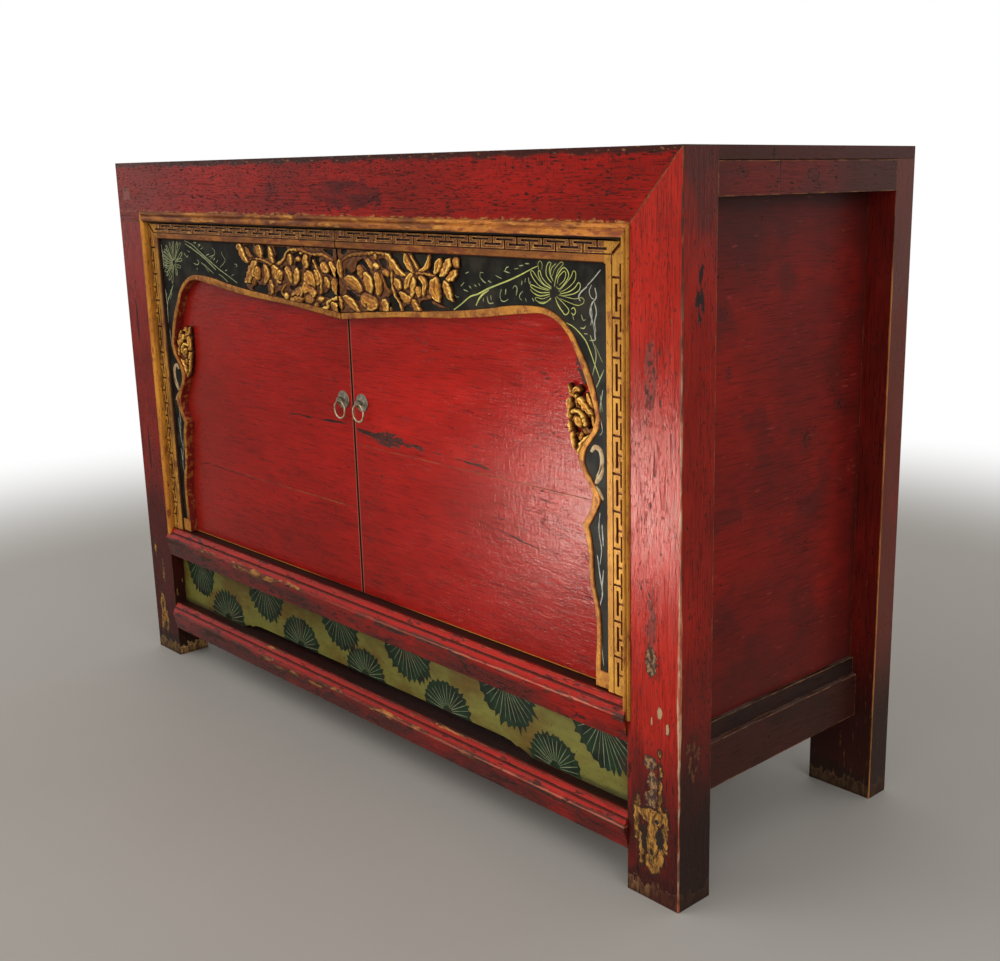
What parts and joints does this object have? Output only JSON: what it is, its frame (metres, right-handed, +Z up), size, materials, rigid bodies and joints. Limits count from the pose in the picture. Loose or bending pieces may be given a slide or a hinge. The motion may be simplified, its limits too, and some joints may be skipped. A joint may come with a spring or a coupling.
{
  "type": "chinese wedding cabinet",
  "caption": "Low red lacquered cabinet on square legs, with a pair of pivoting doors set in gilt key-fret frames, arched panels, pierced carving and ring pulls, over a painted apron.",
  "frame": {"origin": "middle of the bounding box, on the floor", "axes": "+X along the front to the viewer's right, -Y towards the viewer in front of the doors, +Z up"},
  "size_m": [1.263, 0.4376, 0.86],
  "materials": {
    "red_lacquer": "aged glossy red lacquer with cracks and worn edges",
    "dark_lacquer": "darkened maroon lacquer, worn",
    "door_lacquer": "glossy red lacquer with fine horizontal cracks",
    "painted_apron": "yellow-green paint with dark green fans, worn",
    "bare_wood": "unpainted old wood, matt",
    "gilt": "worn gold lacquer over a red-brown ground, satin",
    "black_lacquer": "black lacquer with line painting, satin",
    "brass": "pale worn brass"
  },
  "bodies": {
    "carcass": {"front_left_post": "red_lacquer", "front_right_post": "red_lacquer", "back_left_post": "dark_lacquer", "back_right_post": "dark_lacquer", "front_top_rail": "red_lacquer", "corner_peg": "red_lacquer", "door_rail": "red_lacquer", "base_rail": "red_lacquer", "apron": "painted_apron", "left_side_top_rail": "dark_lacquer", "right_side_top_rail": "dark_lacquer", "left_side_bottom_rail": "dark_lacquer", "right_side_bottom_rail": "dark_lacquer", "left_side_strip": "dark_lacquer", "right_side_strip": "dark_lacquer", "left_side_panel": "dark_lacquer", "right_side_panel": "dark_lacquer", "back_top_rail": "bare_wood", "back_floor_rail": "bare_wood", "back_muntin": "bare_wood", "back_left_panel": "bare_wood", "back_right_panel": "bare_wood", "top_front_board": "red_lacquer", "top_back_board": "red_lacquer", "top_battens": "bare_wood", "floor_front_board": "bare_wood", "floor_middle_board": "bare_wood", "floor_back_board": "bare_wood", "floor_bearers": "bare_wood", "top_moulding": "gilt", "left_moulding": "gilt", "right_moulding": "gilt"},
    "left_door": {"left_door_stile": "gilt", "left_door_top_rail": "gilt", "left_door_upper_board": "door_lacquer", "left_door_lower_board": "door_lacquer", "left_door_battens": "bare_wood", "left_spandrel": "black_lacquer", "left_arch_bead": "gilt", "left_carving": "gilt", "left_side_carving": "gilt", "left_pull_plate": "brass", "left_pull_staple": "brass"},
    "left_ring": {"left_pull_ring": "brass"},
    "right_door": {"right_door_stile": "gilt", "right_door_top_rail": "gilt", "right_door_upper_board": "door_lacquer", "right_door_lower_board": "door_lacquer", "right_door_battens": "bare_wood", "right_spandrel": "black_lacquer", "right_arch_bead": "gilt", "right_carving": "gilt", "right_side_carving": "gilt", "right_pull_plate": "brass", "right_pull_staple": "brass"},
    "right_ring": {"right_pull_ring": "brass"}
  },
  "joints": [
    {"name": "left_door_hinge", "type": "hinge", "parent": "carcass", "child": "left_door", "pos_m": [-0.53249, -0.19925, 0.5], "axis": [0, 0, -1], "range_deg": [0, 100]},
    {"name": "right_door_hinge", "type": "hinge", "parent": "carcass", "child": "right_door", "pos_m": [0.53249, -0.19925, 0.5], "axis": [0, 0, 1], "range_deg": [0, 100]},
    {"name": "left_ring_swing", "type": "hinge", "parent": "left_door", "child": "left_ring", "pos_m": [-0.0225, -0.19905, 0.5233], "axis": [-1, 0, 0], "range_deg": [-8, 150]},
    {"name": "right_ring_swing", "type": "hinge", "parent": "right_door", "child": "right_ring", "pos_m": [0.0225, -0.19905, 0.5233], "axis": [-1, 0, 0], "range_deg": [-8, 150]}
  ]
}
